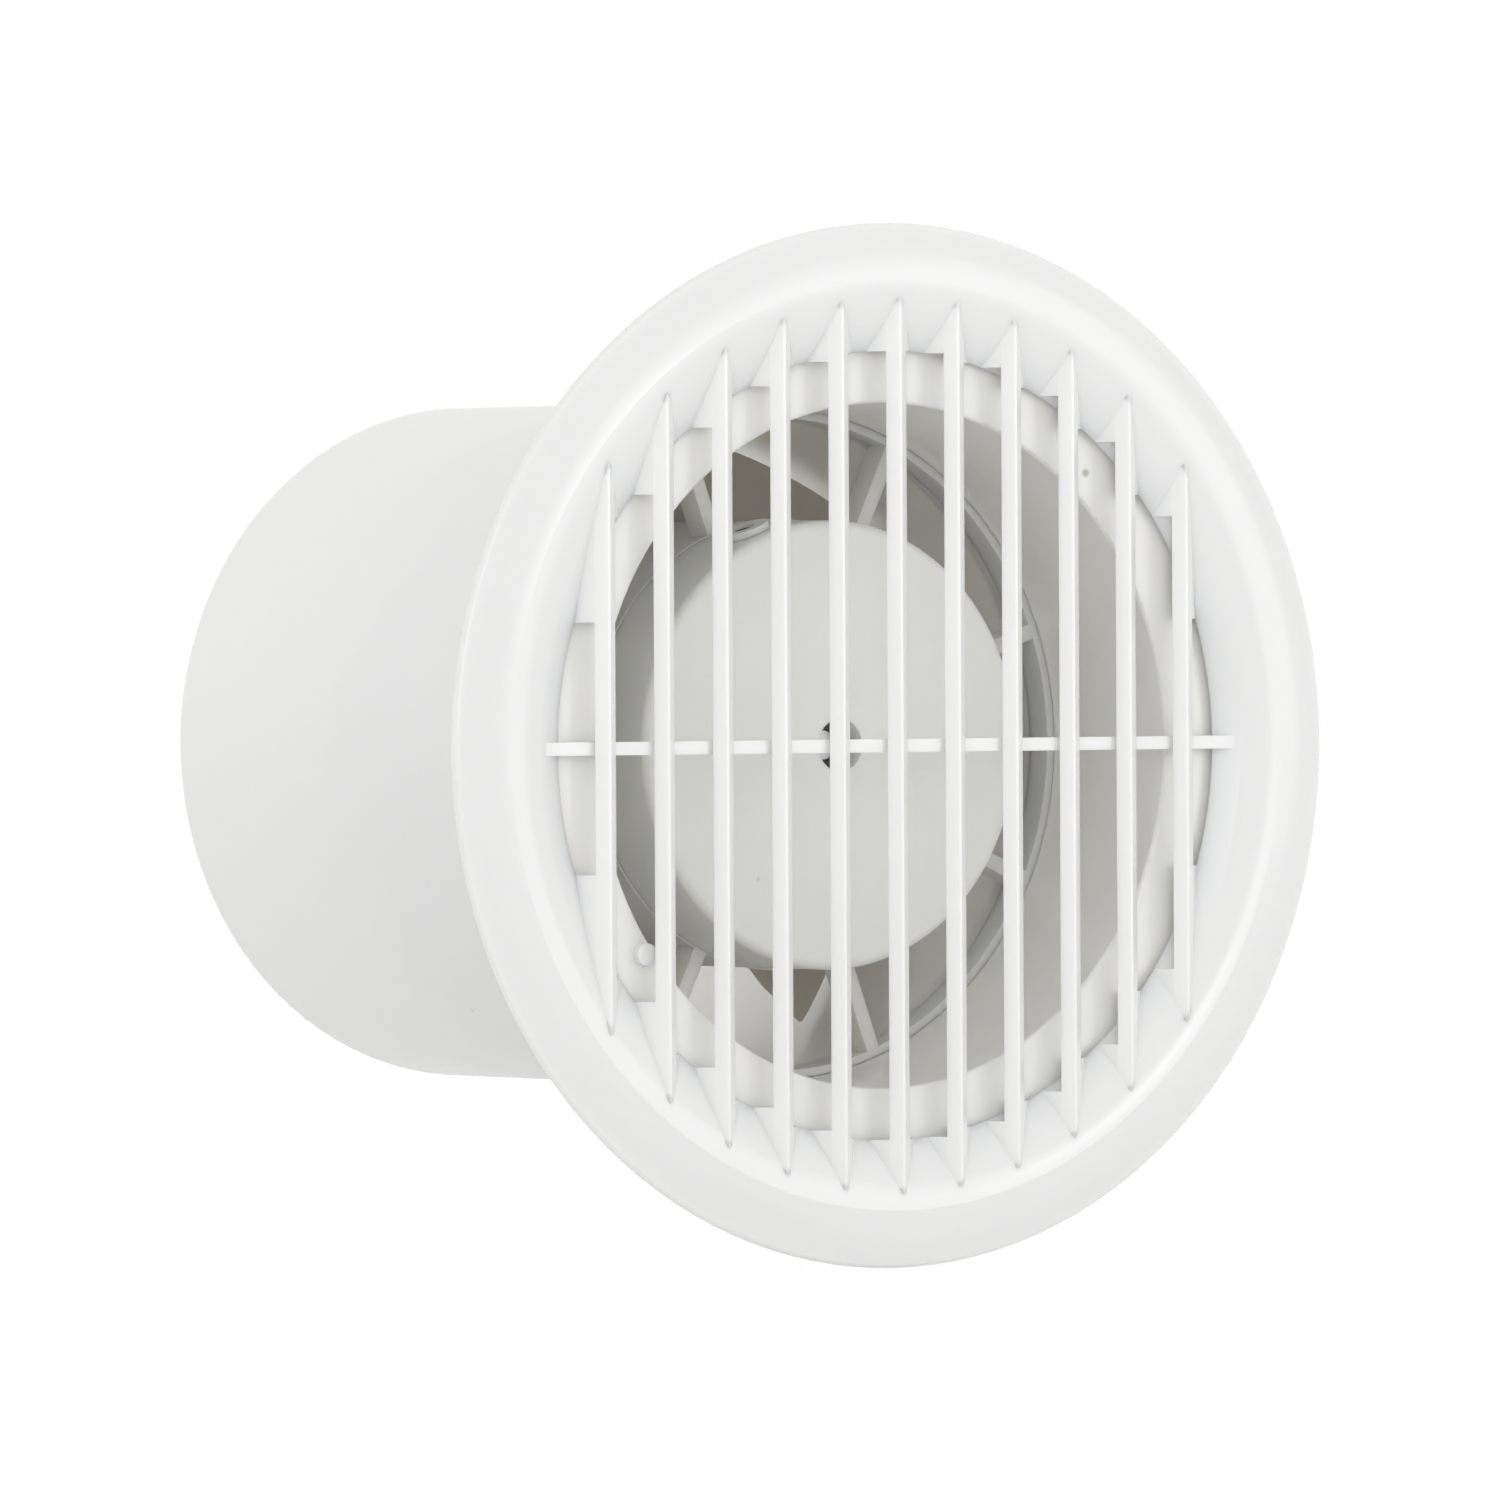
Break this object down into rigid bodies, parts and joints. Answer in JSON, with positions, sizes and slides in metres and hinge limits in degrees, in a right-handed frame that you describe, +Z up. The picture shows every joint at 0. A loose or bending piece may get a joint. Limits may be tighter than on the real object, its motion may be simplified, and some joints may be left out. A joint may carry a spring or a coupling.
{
  "type": "bathroom exhaust fan",
  "caption": "Round in-wall axial exhaust fan: slatted clip-on cover, flanged duct casing, motor pod on radial struts and an impeller that turns on the motor's shaft.",
  "frame": {"origin": "on the fan axis in the wall plane, the back face of the casing's flange", "axes": "+Y along the duct away from the room, the grille faces -Y, +Z up"},
  "size_m": [0.15, 0.1175, 0.15],
  "materials": {
    "cover_white": "gloss",
    "casing_white": "satin gloss",
    "motor_white": "satin",
    "impeller_white": "satin",
    "nylon": "satin",
    "lamination": "sheared steel stack",
    "steel": "zinc plated",
    "copper": "enamelled copper",
    "bronze": "sintered bronze",
    "aluminium": "cast",
    "rubber": "matt",
    "lead": "insulated wire"
  },
  "bodies": {
    "fan_body": {"front_grille": "cover_white", "duct_casing": "casing_white", "motor_carrier": "motor_white", "motor_cap": "motor_white", "cable_grommet": "motor_white", "terminal_block": "nylon", "terminal_screws": "steel", "block_screw": "steel", "lead_wires": "lead", "stator_core": "lamination", "shading_rings": "copper", "coil_bobbin": "nylon", "coil_winding": "copper", "front_bracket": "aluminium", "rear_bracket": "aluminium", "front_bush": "bronze", "rear_bush": "bronze", "motor_bolts": "steel", "bolt_washers": "steel", "motor_nuts": "steel", "rubber_mounts": "rubber"},
    "rotor": {"motor_shaft": "steel", "rotor_core": "lamination", "rotor_end_rings": "aluminium", "thrust_washers": "nylon", "impeller": "impeller_white", "impeller_washer": "steel", "impeller_nut": "steel"}
  },
  "joints": [
    {"name": "impeller_spin", "type": "hinge", "parent": "fan_body", "child": "rotor", "pos_m": [0, 0.06, 0], "axis": [0, 1, 0], "continuous": true}
  ]
}
